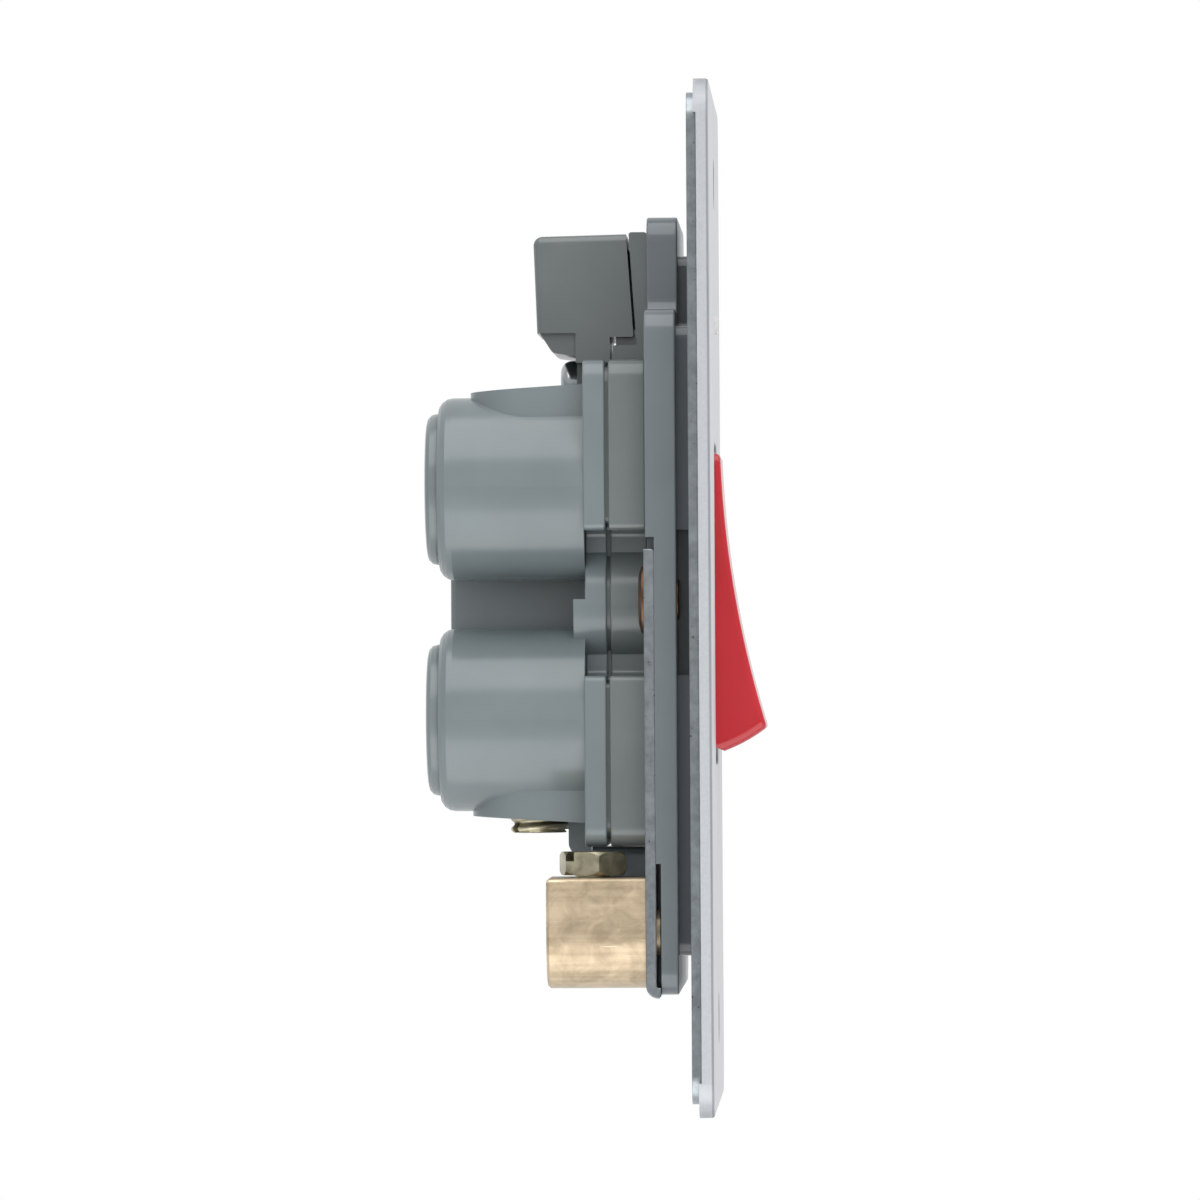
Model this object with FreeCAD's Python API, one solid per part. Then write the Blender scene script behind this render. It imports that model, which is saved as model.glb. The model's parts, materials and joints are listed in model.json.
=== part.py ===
"""Double-pole cooker switch on a tall two-gang metal plate.

Millimetres, +Z up, +X to the right seen from the front, the front faces -Y.
The origin is the centre of the wall plane, which is the rear face of the backing plate.
"""
import FreeCAD, Part
import math
import os

Vector = FreeCAD.Vector

# Face plate and backing plate
plate_width = 86.0
plate_height = 146.0
plate_corner_radius = 5.0
plate_thickness = 1.75
plate_edge_round = 0.45
rim_depth = 0.4
rim_width = 1.5
rim_from_end = 5.0
backing_thickness = 1.4
backing_inset = 1.9
fixing_spacing = 120.6
fixing_hole_radius = 2.1
fixing_countersink = 1.6

# Height of the mechanism's centre over the plate's centre
module_z = -0.5

# Rocker, given square to the plate and then tilted about its pivot
rocker_width = 22.0
rocker_end_radius = 22.6
rocker_tip_height = 19.85
rocker_dish = 1.3
rocker_shoulder_height = 22.2
rocker_tuck = 0.95
rocker_tuck_depth = 1.5
rocker_tilt = 9.35
rocker_wall = 1.6
rocker_corner_round = 1.5
rocker_edge_round = 0.7
rocker_gap = 0.3
pivot_depth = 3.4
skirt_depth = 1.2
trunnion_radius = 1.75
trunnion_length = 2.2
running_clearance = 0.05

# Mounting frame
frame_width = 67.0
frame_height = 110.9
platform_depth = 1.9
flange_thickness = 4.4
frame_corner_radius = 3.6
frame_notch_width = 19.0
frame_notch_height = 14.0
platform_inset = 5.4
platform_waist_depth = 8.0
pillar_half_width = 6.0
pillar_bottom = -44.0

# Mechanism outline, shared by the base and the terminal housing
body_width = 58.0
body_height = 69.1
body_corner_radius = 3.0
waist_half_height = 10.3
waist_depth = 9.2
waist_boss_radius = 9.0
waist_boss_x = 14.5
base_depth = 5.25
seam_gap = 0.5
seam_depth = 1.0
housing_flange = 3.1
body_wall = 2.2
body_skin = 1.6
barrier_half_width = 1.2
barrier_half_height = 28.5
moulded_edge_round = 0.3

# Terminal turrets
turret_spacing_x = 31.0
turret_spacing_z = 33.0
turret_radius = 13.15
turret_length = 21.0
turret_draft = 0.3
turret_edge_round = 2.1
collar_radius = 10.8
collar_length = 1.65
entry_radius = 5.2
access_half_width = 8.4
access_rise_front = 14.7
access_rise_rear = 13.6
access_length = 16.4
spine_width = 14.0
spine_height = 44.0
spine_length = 19.85
lug_height = 1.65
lug_rise = 0.6
lug_drop = 7.2

# Terminals and their screws
terminal_length = 12.0
terminal_half_width = 6.0
cable_bore_radius = 4.0
terminal_top = 6.6
screw_radius = 4.1
screw_length = 11.2
screw_dog_radius = 2.5
screw_backed_out = 2.3
fit_clearance = 0.2

# Contacts
pole_x = 7.0
arm_width = 5.0
arm_thickness = 1.2
arm_short = 5.5
arm_long = 13.2
arm_tilt = 7.0
arm_pivot_radius = 0.8
button_radius = 1.8
button_height = 1.0
contact_reach = 11.3
bar_thickness = 1.2
plunger_reach = 6.6
plunger_radius = 2.0
plunger_tip_radius = 1.2
plunger_boss_wall = 1.25
spring_wire_radius = 0.22
spring_turns = 6

# Earth parts
strap_width = 11.5
strap_thickness = 1.5
strap_top = 7.0
strap_top_gap = 1.7
strap_bottom = -56.4
strap_seat = 1.25
strap_relief = 0.7
rivet_head_radius = 4.85
rivet_head_height = 0.8
rivet_roll = 0.5
rivet_roll_height = 0.3
rivet_shank_radius = 2.4
rivet_bore_radius = 1.5
earth_width = 15.6
earth_height = 15.7
earth_length = 14.05
earth_bore_floor = 1.95
earth_top = -39.4
earth_screw_across = 10.0
earth_screw_head = 3.3
earth_screw_lift = 0.35
earth_screw_radius = 2.5
earth_screw_offset = 0.62
earth_tenon_radius = 2.5

# Lamp and the block that holds it
lens_z = 39.8
lens_radius = 1.45
lens_proud = 0.55
lens_flange_radius = 2.5
lamp_radius = 1.35
lamp_rise = 1.7
lamp_floor = 1.0
lead_x = 4.8
lead_thickness = 0.7
board_half_width = 9.5
board_thickness = 1.2
resistor_x = 5.0
resistor_radius = 1.1
lamp_block_width = 24.0
lamp_block_bottom = 37.8
lamp_block_rear_bottom = 38.4
lamp_block_top = 52.6
lamp_block_front = 8.3
lamp_block_lean = 1.0
lamp_block_rear = 22.65
lamp_block_wall = 1.5
lamp_block_round = 1.3
lamp_lip_bottom = 35.1
lamp_neck_depth = 1.45
lamp_tab_half_width = 6.5
lamp_tab_bottom = 27.5
lamp_gap = 0.38
carrier_top = 52.8
ledge_height = 2.45

# Small fasteners
module_screw_z = 32.0
module_screw_radius = 1.5
module_screw_head_radius = 3.35
module_screw_head_height = 2.5
frame_screw_radius = 1.25
frame_screw_low_x = 11.5

# Depths that follow from the sizes above, counted from the wall plane
plate_front = -(plate_thickness + backing_thickness)
frame_rear = platform_depth + flange_thickness
base_rear = frame_rear + base_depth
housing_front = base_rear + seam_gap
flange_rear = housing_front + housing_flange
lamp_neck_rear = flange_rear + lamp_neck_depth
lead_front = housing_front + 0.4
turret_rear = flange_rear + turret_length
collar_rear = turret_rear + collar_length
housing_floor = flange_rear - 1.5
rocker_tip_depth = math.sqrt(rocker_end_radius ** 2 - rocker_tip_height ** 2)
rocker_shoulder_depth = math.sqrt(rocker_end_radius ** 2 - rocker_shoulder_height ** 2)
opening_half_height = rocker_end_radius + rocker_gap
opening_half_width = rocker_width / 2 + rocker_gap
cheek_inner = rocker_width / 2 + rocker_gap
cheek_outer = rocker_width / 2 + trunnion_length + 0.3
arm_pivot_depth = pivot_depth + plunger_reach + 0.1 + arm_thickness
bar_front = arm_pivot_depth + arm_pivot_radius + 0.1
terminal_front = housing_floor + 2.4
fixed_bar_front = terminal_front - bar_thickness
terminal_rear = terminal_front + terminal_length
screw_depth = terminal_front + terminal_length / 2
turret_x = turret_spacing_x / 2
turret_z = turret_spacing_z / 2
strap_x = -frame_width / 2
strap_front = frame_rear - strap_seat
strap_rear = strap_front + strap_thickness
tenon_x = strap_x + strap_width / 2
rivet_x = -(waist_boss_x + waist_boss_radius + 0.2 + rivet_head_radius)
rivet_z = module_z + 0.4
earth_x = strap_x + earth_width / 2 + 0.3
earth_rear = strap_rear + earth_length


def block(x0, x1, y0, y1, z0, z1):
    """Box between two corners."""
    return Part.makeBox(x1 - x0, y1 - y0, z1 - z0, Vector(x0, y0, z0))


def rod(radius, start, end):
    """Cylinder from one point to another."""
    start = Vector(*start)
    end = Vector(*end)
    return Part.makeCylinder(radius, (end - start).Length, start, end - start)


def outline(corners, place):
    """Closed wire through corners (a, b, radius), each rounded by its radius."""
    first = []
    last = []
    middle = []
    count = len(corners)
    for index in range(count):
        here = Vector(corners[index][0], corners[index][1], 0)
        radius = corners[index][2]
        back = Vector(corners[index - 1][0], corners[index - 1][1], 0) - here
        ahead_corner = corners[(index + 1) % count]
        ahead = Vector(ahead_corner[0], ahead_corner[1], 0) - here
        back.normalize()
        ahead.normalize()
        half_angle = back.getAngle(ahead) / 2
        bisector = back + ahead
        if radius > 0:
            bisector.normalize()
            reach = radius / math.tan(half_angle)
            first.append(here + back * reach)
            last.append(here + ahead * reach)
            middle.append(here + bisector * (radius / math.sin(half_angle) - radius))
        else:
            first.append(here)
            last.append(here)
            middle.append(None)
    edges = []
    for index in range(count):
        if (first[index] - last[index - 1]).Length > 1e-6:
            edges.append(Part.LineSegment(place(last[index - 1]), place(first[index])).toShape())
        if middle[index] is not None:
            arc = Part.Arc(place(first[index]), place(middle[index]), place(last[index]))
            edges.append(arc.toShape())
    return Part.Wire(edges)


def slab(corners, y0, y1):
    """Plate with an outline in X and Z, between two depths."""
    wire = outline(corners, lambda p: Vector(p.x, y0, p.y))
    return Part.Face(wire).extrude(Vector(0, y1 - y0, 0))


def bar(corners, x0, x1):
    """Piece with a side profile in Y and Z, between two widths."""
    wire = outline(corners, lambda p: Vector(x0, p.x, p.y))
    return Part.Face(wire).extrude(Vector(x1 - x0, 0, 0))


def turned(points, centre_x, centre_z):
    """Solid of revolution about an axis along Y, from (radius, depth) points."""
    corners = [Vector(centre_x + radius, depth, centre_z) for radius, depth in points]
    wire = Part.makePolygon(corners + corners[:1])
    axis_point = Vector(centre_x, 0, centre_z)
    return Part.Face(wire).revolve(axis_point, Vector(0, 1, 0), 360)


def rim(radius, depth, size, steps):
    """Rounded rim of a turned piece, as a run of short cones from its side to its end face."""
    turns = [math.pi / 2 * step / steps for step in range(steps + 1)]
    return [(radius - size * (1 - math.cos(turn)), depth - size * (1 - math.sin(turn))) for turn in turns]


def rectangle(half_width, z0, z1, radius):
    return [(-half_width, z0, radius), (half_width, z0, radius),
            (half_width, z1, radius), (-half_width, z1, radius)]


def rounded(shape, radius, chosen):
    """Fillet on the edges that the test picks out."""
    edges = [edge for edge in shape.Edges if chosen(edge)]
    return shape.makeFillet(radius, edges)


def mirrored(shape):
    """The same shape on the other side of the plane X = 0."""
    return shape.mirror(Vector(0, 0, 0), Vector(1, 0, 0))


def fuse(shapes):
    whole = shapes[0].multiFuse(shapes[1:]) if len(shapes) > 1 else shapes[0]
    return whole.removeSplitter()


def edge_at_depth(edge, depth):
    box = edge.BoundBox
    return abs(box.YMin - depth) < 1e-4 and abs(box.YMax - depth) < 1e-4


def soft_edged(shape, *depths):
    """Moulding whose outer edges at the given depths are slightly rounded."""
    return rounded(shape, moulded_edge_round,
                   lambda edge: any(edge_at_depth(edge, depth) for depth in depths))


def tilted(shape, angle):
    """Turned about the rocker's pivot."""
    turned_shape = shape.copy()
    turned_shape.rotate(Vector(0, pivot_depth, module_z), Vector(1, 0, 0), angle)
    return turned_shape


def opening_cutter(clearance):
    half_width = opening_half_width + clearance
    half_height = opening_half_height + clearance
    corners = rectangle(half_width, module_z - half_height, module_z + half_height,
                        rocker_corner_round + rocker_gap)
    return slab(corners, plate_front - 1, frame_rear + 1)


def fixing_holes():
    holes = []
    for side in (-1, 1):
        z = side * fixing_spacing / 2
        holes.append(rod(fixing_hole_radius, (0, plate_front - 1, z), (0, 1, z)))
    return holes


def front_plate():
    half_width = plate_width / 2
    half_height = plate_height / 2
    corners = rectangle(half_width, -half_height, half_height, plate_corner_radius)
    plate = slab(corners, plate_front, -backing_thickness).cut(opening_cutter(0))
    plate = rounded(plate, plate_edge_round, lambda edge: edge_at_depth(edge, plate_front))
    rim_rear = -backing_thickness + rim_depth
    rim = slab(corners, -backing_thickness, rim_rear)
    inner = rectangle(half_width - rim_width, rim_width - half_height, half_height - rim_width,
                      plate_corner_radius - rim_width)
    rim = rim.cut(slab(inner, -backing_thickness, rim_rear))
    middle = half_height - rim_from_end
    rim = rim.cut(block(-half_width, half_width, -backing_thickness, rim_rear, -middle, middle))
    cutters = fixing_holes()
    cutters.append(rod(lens_radius + running_clearance, (0, plate_front - 1, lens_z), (0, 0, lens_z)))
    for side in (-1, 1):
        z = side * fixing_spacing / 2
        cutters.append(Part.makeCone(fixing_hole_radius + fixing_countersink, fixing_hole_radius,
                                     fixing_countersink, Vector(0, plate_front, z), Vector(0, 1, 0)))
    return fuse([plate, rim]).cut(cutters)


def frame_screw_places():
    top_x = frame_width / 2 - platform_inset - frame_notch_width - 2.6
    top_z = module_z + frame_height / 2 - platform_inset - 3
    low_z = module_z - frame_height / 2 + platform_inset + 2
    return [(-top_x, top_z), (top_x, top_z), (-frame_screw_low_x, low_z), (frame_screw_low_x, low_z)]


def backing_plate():
    half_width = plate_width / 2 - backing_inset
    half_height = plate_height / 2 - backing_inset
    corners = rectangle(half_width, -half_height, half_height, plate_corner_radius - 1)
    plate = slab(corners, -backing_thickness, 0)
    cutters = fixing_holes() + [opening_cutter(0.2)]
    cutters.append(rod(lens_radius + running_clearance, (0, -3, lens_z), (0, 1, lens_z)))
    for x, z in frame_screw_places():
        cutters.append(rod(frame_screw_radius, (x, -3, z), (x, 1, z)))
    return plate.cut(cutters)


def frame_corners(inset, radius):
    """Outline of the frame: one upper corner is cut away."""
    right = frame_width / 2 - inset
    top = module_z + frame_height / 2 - inset
    bottom = module_z - frame_height / 2 + inset
    notch_x = -right + frame_notch_width
    notch_z = top - frame_notch_height + inset * 0.6
    fillet = radius * 0.65
    return [(-right, bottom, radius), (right, bottom, radius), (right, top, radius),
            (notch_x, top, radius), (notch_x, notch_z, fillet), (-right, notch_z, radius)]


def strap_rebate():
    """Seat of the earth strap, deeper near its lower end to clear the terminal's tenon."""
    low = module_z - frame_height / 2 - 1
    inner = strap_x + strap_width + fit_clearance
    upper = block(strap_x - 1, inner, strap_front, frame_rear + 1, low, strap_top + strap_top_gap)
    lower = block(strap_x - 1, inner, strap_front - strap_relief, frame_rear + 1, low, earth_top + 2)
    return fuse([upper, lower])


def mounting_frame():
    flange = slab(frame_corners(0, frame_corner_radius), platform_depth, frame_rear)
    flange = soft_edged(flange, platform_depth, frame_rear)
    platform = slab(frame_corners(platform_inset, 2.0), 0, platform_depth)
    right = frame_width / 2 - platform_inset
    for side in (-1, 1):
        inner = side * (right - platform_waist_depth)
        outer = side * (right + 1)
        platform = platform.cut(block(min(inner, outer), max(inner, outer), 0, platform_depth,
                                      module_z - waist_half_height, module_z + waist_half_height))
    frame = fuse([flange, platform])
    window = rectangle(cheek_outer + 0.6, module_z - 25, module_z + 25, 2.0)
    cutters = [slab(window, -1, frame_rear + 1), strap_rebate()]
    cutters.append(rod(lens_flange_radius + fit_clearance, (0, -1, lens_z), (0, frame_rear + 1, lens_z)))
    cutters.append(rod(rivet_shank_radius, (rivet_x, -1, rivet_z), (rivet_x, frame_rear + 1, rivet_z)))
    for side in (-1, 1):
        z = module_z + side * module_screw_z
        cutters.append(rod(module_screw_radius, (0, platform_depth, z), (0, frame_rear + 1, z)))
    for x, z in frame_screw_places():
        cutters.append(rod(frame_screw_radius + 0.1, (x, -1, z), (x, frame_rear + 1, z)))
        cutters.append(Part.makeCone(frame_screw_radius + 0.1, frame_screw_radius + 1.4, 1.3,
                                     Vector(x, frame_rear - 1.3, z), Vector(0, 1, 0)))
    pillar = block(-pillar_half_width, pillar_half_width, frame_rear, flange_rear - 0.3, pillar_bottom,
                   module_z - body_height / 2 - 0.4)
    pillar = rounded(pillar, 1.2, lambda edge: edge.BoundBox.YLength > 4)
    return fuse([frame.cut(cutters), pillar])


def body_corners(inset):
    """Outline of the mechanism with a waist on each side."""
    right = body_width / 2 - inset
    top = module_z + body_height / 2 - inset
    bottom = module_z - body_height / 2 + inset
    waist_x = right - waist_depth
    up = module_z + waist_half_height + inset
    down = module_z - waist_half_height - inset
    r = body_corner_radius
    return [(-right, bottom, r), (right, bottom, r), (right, down, 1), (waist_x, down, 1),
            (waist_x, up, 1), (right, up, 1), (right, top, r), (-right, top, r),
            (-right, up, 1), (-waist_x, up, 1), (-waist_x, down, 1), (-right, down, 1)]


def body_layer(inset, y0, y1):
    """One layer of the mechanism: the waisted outline and the round boss in each waist."""
    shapes = [slab(body_corners(inset), y0, y1)]
    for side in (-1, 1):
        x = side * waist_boss_x
        shapes.append(rod(waist_boss_radius - inset, (x, y0, module_z), (x, y1, module_z)))
    return fuse(shapes)


def body_cavity(y0, y1):
    """Room for the contacts: two wide chambers and a narrower middle, less the screw posts."""
    wide = body_width / 2 - body_wall
    outer = body_height / 2 - body_wall
    inner = waist_half_height + body_wall
    middle = block(-cheek_inner - 1.7, cheek_inner + 1.7, y0, y1, module_z - inner, module_z + inner)
    shapes = [middle]
    for z0, z1 in ((module_z + inner - 0.1, module_z + outer), (module_z - outer, module_z - inner + 0.1)):
        shapes.append(block(-wide, wide, y0, y1, z0, z1))
    cavity = fuse(shapes)
    for side in (-1, 1):
        z = module_z + side * module_screw_z
        cavity = cavity.cut(rod(3.6, (0, y0, z), (0, y1, z)))
    return cavity


def locating_lug():
    """Half of the boss in the waist, carried on a little behind the flange."""
    rear = flange_rear + lug_height
    boss = rod(waist_boss_radius, (waist_boss_x, flange_rear - 0.5, module_z), (waist_boss_x, rear, module_z))
    lug = boss.common(block(turret_x - 1.5, waist_boss_x + waist_boss_radius, flange_rear - 0.5, rear,
                            module_z - lug_drop, module_z + lug_rise))
    return lug


def mechanism_base():
    layer = soft_edged(body_layer(0, frame_rear, base_rear), frame_rear, base_rear)
    lip = body_layer(seam_depth, base_rear, housing_front)
    skin_rear = frame_rear + body_skin
    shell = fuse([layer, lip]).cut(body_cavity(skin_rear, housing_front + 1))
    window = rectangle(cheek_inner, module_z - 8, module_z + 15.5, 1.0)
    shell = shell.cut(slab(window, frame_rear - 1, skin_rear + 0.5))
    reach = barrier_half_height
    barrier = block(-barrier_half_width, barrier_half_width, frame_rear, housing_front,
                    module_z - reach, module_z + reach)
    barrier = barrier.cut(rod(9.5, (-2 * barrier_half_width, pivot_depth, module_z),
                              (2 * barrier_half_width, pivot_depth, module_z)))
    shapes = [shell, barrier]
    for side in (-1, 1):
        cheek = bar([(frame_rear + 0.5, module_z - 8, 0), (frame_rear + 0.5, module_z + 8, 0),
                     (0.6, module_z + 3.4, 2.6), (0.6, module_z - 3.4, 2.6)], cheek_inner, cheek_outer)
        shapes.append(cheek if side > 0 else mirrored(cheek))
    base = fuse(shapes)
    reach = cheek_outer + 1
    bearing = rod(trunnion_radius + running_clearance, (-reach, pivot_depth, module_z),
                  (reach, pivot_depth, module_z))
    strap_relief_cut = block(strap_x - 1, strap_x + strap_width + 2 * fit_clearance, frame_rear - 1,
                             strap_rear + 0.1, strap_bottom - 1, strap_top + strap_top_gap)
    cutters = [bearing, strap_relief_cut]
    for side in (-1, 1):
        z = module_z + side * module_screw_z
        cutters.append(rod(module_screw_radius + 0.1, (0, 0, z), (0, housing_front + 1, z)))
    return base.cut(cutters)


def terminal_block_outline(clearance):
    """Section of a terminal, flat towards its screw and round towards the middle."""
    half = terminal_half_width + clearance
    centre = turret_z - 1.5
    top = turret_z + terminal_top + clearance
    return half, centre, top


def terminal_block(clearance, y0, y1):
    """Upper right terminal block, with its height counted from the module's centre."""
    half, centre, top = terminal_block_outline(clearance)
    round_half = rod(half, (turret_x, y0, module_z + centre), (turret_x, y1, module_z + centre))
    flat_half = block(turret_x - half, turret_x + half, y0, y1, module_z + centre, module_z + top)
    return fuse([round_half, flat_half])


def contact_ear(clearance, y0, y1):
    """Ear of an upper right contact plate, towards the middle of the mechanism."""
    low = module_z + turret_z - 1.5 - terminal_half_width + 0.3 - clearance
    return block(pole_x - arm_width / 2 - clearance, turret_x, y0, y1, low, low + 5 + 2 * clearance)


def quarter(shape, right, upper):
    """Copy of an upper right piece in another quarter of the mechanism."""
    if not right:
        shape = mirrored(shape)
    if not upper:
        shape = shape.mirror(Vector(0, 0, module_z), Vector(0, 0, 1))
    return shape


def turret():
    """Upper right turret with its collar and the boss over its screw."""
    lean = math.tan(math.radians(turret_draft)) * turret_length
    z = module_z + turret_z
    end_rim = rim(turret_radius - lean, turret_rear, turret_edge_round, 4)
    body = turned([(0, flange_rear), (turret_radius, flange_rear), *end_rim, (0, turret_rear)], turret_x, z)
    collar = turned([(0, turret_rear - 1), (collar_radius, turret_rear - 1),
                     *rim(collar_radius, collar_rear, collar_length - 0.3, 3), (0, collar_rear)], turret_x, z)
    end = flange_rear + access_length
    slope_front = z + access_rise_front
    slope_rear = z + access_rise_rear
    side_profile = bar([(flange_rear, z, 0), (flange_rear, slope_front, 0),
                        (end + 2, slope_rear, 0), (end + 2, z, 0)],
                       turret_x - access_half_width, turret_x + access_half_width)
    half = access_half_width
    centre = end - half
    plan = fuse([rod(half, (turret_x, centre, z), (turret_x, centre, z + 20)),
                 block(turret_x - half, turret_x + half, flange_rear, centre, z, z + 20)])
    return fuse([body, collar, side_profile.common(plan)])


def turret_hollow():
    """Everything cut out of the upper right turret."""
    z = module_z + turret_z
    entry = turned([(0, terminal_rear), (entry_radius, terminal_rear), (entry_radius, collar_rear - 1),
                    (entry_radius + 1, collar_rear), (entry_radius + 1, collar_rear + 1),
                    (0, collar_rear + 1)], turret_x, z - 1.5)
    seat = terminal_block(fit_clearance, housing_floor - 1, terminal_rear + fit_clearance)
    access = rod(screw_radius + fit_clearance, (turret_x, screw_depth, z), (turret_x, screw_depth, z + 20))
    ear_pocket = contact_ear(fit_clearance, housing_floor - 1, terminal_front + fit_clearance)
    return fuse([entry, seat, access, ear_pocket])


def terminal_housing():
    flange = soft_edged(body_layer(0, housing_front, flange_rear), housing_front, flange_rear)
    flange = flange.cut(body_cavity(housing_front - 1, housing_floor))
    quarters = [(right, upper) for right in (True, False) for upper in (True, False)]
    shapes = [flange]
    one_turret = turret()
    one_hollow = turret_hollow()
    for right, upper in quarters:
        shapes.append(quarter(one_turret, right, upper))
    half = spine_height / 2
    spine = block(-spine_width / 2, spine_width / 2, housing_floor, flange_rear + spine_length,
                  module_z - half, module_z + half)
    spine = rounded(spine, 0.8, lambda edge: edge_at_depth(edge, flange_rear + spine_length))
    foot_low = module_z - body_height / 2 - 1.6
    foot = bar([(flange_rear, -27, 0), (flange_rear + 3.1, -27, 0),
                (flange_rear + 3.1, foot_low, 1.8), (flange_rear, foot_low, 0)], -6, 6)
    shapes += [spine, foot, locating_lug(), mirrored(locating_lug())]
    housing = fuse(shapes)
    cutters = [quarter(one_hollow, right, upper) for right, upper in quarters]
    for side in (-1, 1):
        z = module_z + side * module_screw_z
        cutters.append(rod(module_screw_radius + 0.1, (0, housing_front - 1, z), (0, flange_rear + 5, z)))
        x = side * lead_x
        cutters.append(block(x - 0.9, x + 0.9, housing_front - 1, housing_floor,
                             module_z + 20, module_z + body_height / 2 + 1))
    z = module_z - module_screw_z
    cutters.append(rod(module_screw_head_radius + 0.2, (0, flange_rear + 0.6, z), (0, flange_rear + 5, z)))
    return housing.cut(cutters)


def terminal(right, upper):
    """Brass block with its cable bore, its screw thread and the way through for the screw's dog."""
    block_shape = terminal_block(0, terminal_front, terminal_rear)
    block_shape = rounded(block_shape, 0.5, lambda edge: edge.BoundBox.YLength > 5
                          and edge.BoundBox.ZMin > module_z + turret_z + terminal_top - 0.1)
    bore_z = module_z + turret_z - 1.5
    top = module_z + turret_z + terminal_top
    cutters = [rod(cable_bore_radius, (turret_x, terminal_front - 1, bore_z),
                   (turret_x, terminal_rear + 1, bore_z))]
    cutters.append(rod(screw_radius, (turret_x, screw_depth, top - 2.9), (turret_x, screw_depth, top + 1)))
    cutters.append(rod(screw_dog_radius + 0.1, (turret_x, screw_depth, bore_z),
                       (turret_x, screw_depth, top)))
    return quarter(block_shape.cut(cutters), right, upper)


def terminal_screw(upper, right):
    """Slotted screw with a dog point; the lower two are backed out."""
    tip = module_z + turret_z - 1.5 + cable_bore_radius + 0.15
    if not upper:
        tip += screw_backed_out
    dog = tip + 1.4
    end = tip + screw_length
    body = rod(screw_radius, (turret_x, screw_depth, dog), (turret_x, screw_depth, end))
    body = body.makeChamfer(0.35, [edge for edge in body.Edges if edge.BoundBox.ZLength < 1e-4])
    point = rod(screw_dog_radius, (turret_x, screw_depth, tip), (turret_x, screw_depth, dog + 0.5))
    slot = block(turret_x - screw_radius - 1, turret_x + screw_radius + 1, screw_depth - 0.6,
                 screw_depth + 0.6, end - 1.4, end + 1)
    return quarter(fuse([body, point]).cut(slot), right, upper)


def contact_plate():
    """Copper plate of a terminal's own outline with an ear towards the middle."""
    plate = fuse([terminal_block(0, fixed_bar_front, terminal_front),
                  contact_ear(0, fixed_bar_front, terminal_front)])
    return rounded(plate, 0.6, lambda edge: edge.BoundBox.YLength > 1
                   and edge.BoundBox.XMax < pole_x - arm_width / 2 + 0.1)


def fixed_contact(right):
    """Copper plate in front of an outgoing terminal, with an ear that carries the button."""
    return quarter(contact_plate(), right, True)


def contact_button(depth, z, height):
    """Silver contact with a slightly domed face towards the given depth."""
    return turned([(0, depth), (button_radius * 0.6, depth + 0.03), (button_radius, depth + 0.15),
                   (button_radius, depth + height), (0, depth + height)], pole_x, z)


def pivot_bar(right):
    """Copper bar from an incoming terminal to the cradle of the contact arm."""
    plate = quarter(contact_plate(), True, False)
    ear = pole_x - arm_width / 2
    ear_far = pole_x + arm_width / 2
    riser_z = module_z - turret_z + 1.5 + terminal_half_width - 3.2
    rear = bar_front + bar_thickness
    riser = block(ear, ear_far, bar_front, fixed_bar_front + 0.5, riser_z, riser_z + bar_thickness)
    tongue = block(ear, ear_far, bar_front, rear, riser_z, module_z + 2.2)
    pad = block(ear, ear_far, bar_front - 0.5, bar_front + 0.1, module_z - 1.8, module_z + 1.8)
    groove = rod(arm_pivot_radius + 0.1, (ear - 1, arm_pivot_depth, module_z),
                 (ear_far + 1, arm_pivot_depth, module_z))
    shape = fuse([plate, riser, tongue, pad]).cut(groove)
    return shape if right else mirrored(shape)


def about_arm_pivot(shape):
    turned_shape = shape.copy()
    turned_shape.rotate(Vector(0, arm_pivot_depth, module_z), Vector(1, 0, 0), arm_tilt)
    return turned_shape


def contact_arm(right):
    """See-saw arm with a half-round pivot rib behind it."""
    front = arm_pivot_depth - arm_thickness
    left = pole_x - arm_width / 2
    far = pole_x + arm_width / 2
    arm = bar([(front, module_z - arm_short, 0.3), (front, module_z + arm_long, 0.3),
               (arm_pivot_depth, module_z + arm_long, 0.3), (arm_pivot_depth, module_z - arm_short, 0.3)],
              left, far)
    rib = rod(arm_pivot_radius, (left, arm_pivot_depth, module_z), (far, arm_pivot_depth, module_z))
    arm = about_arm_pivot(fuse([arm, rib]))
    return arm if right else mirrored(arm)


def arm_button(right):
    z = module_z + contact_reach
    button = turned([(0, arm_pivot_depth), (button_radius, arm_pivot_depth),
                     (button_radius, arm_pivot_depth + button_height - 0.15),
                     (button_radius * 0.6, arm_pivot_depth + button_height - 0.03),
                     (0, arm_pivot_depth + button_height)], pole_x, z)
    button = about_arm_pivot(button)
    return button if right else mirrored(button)


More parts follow.
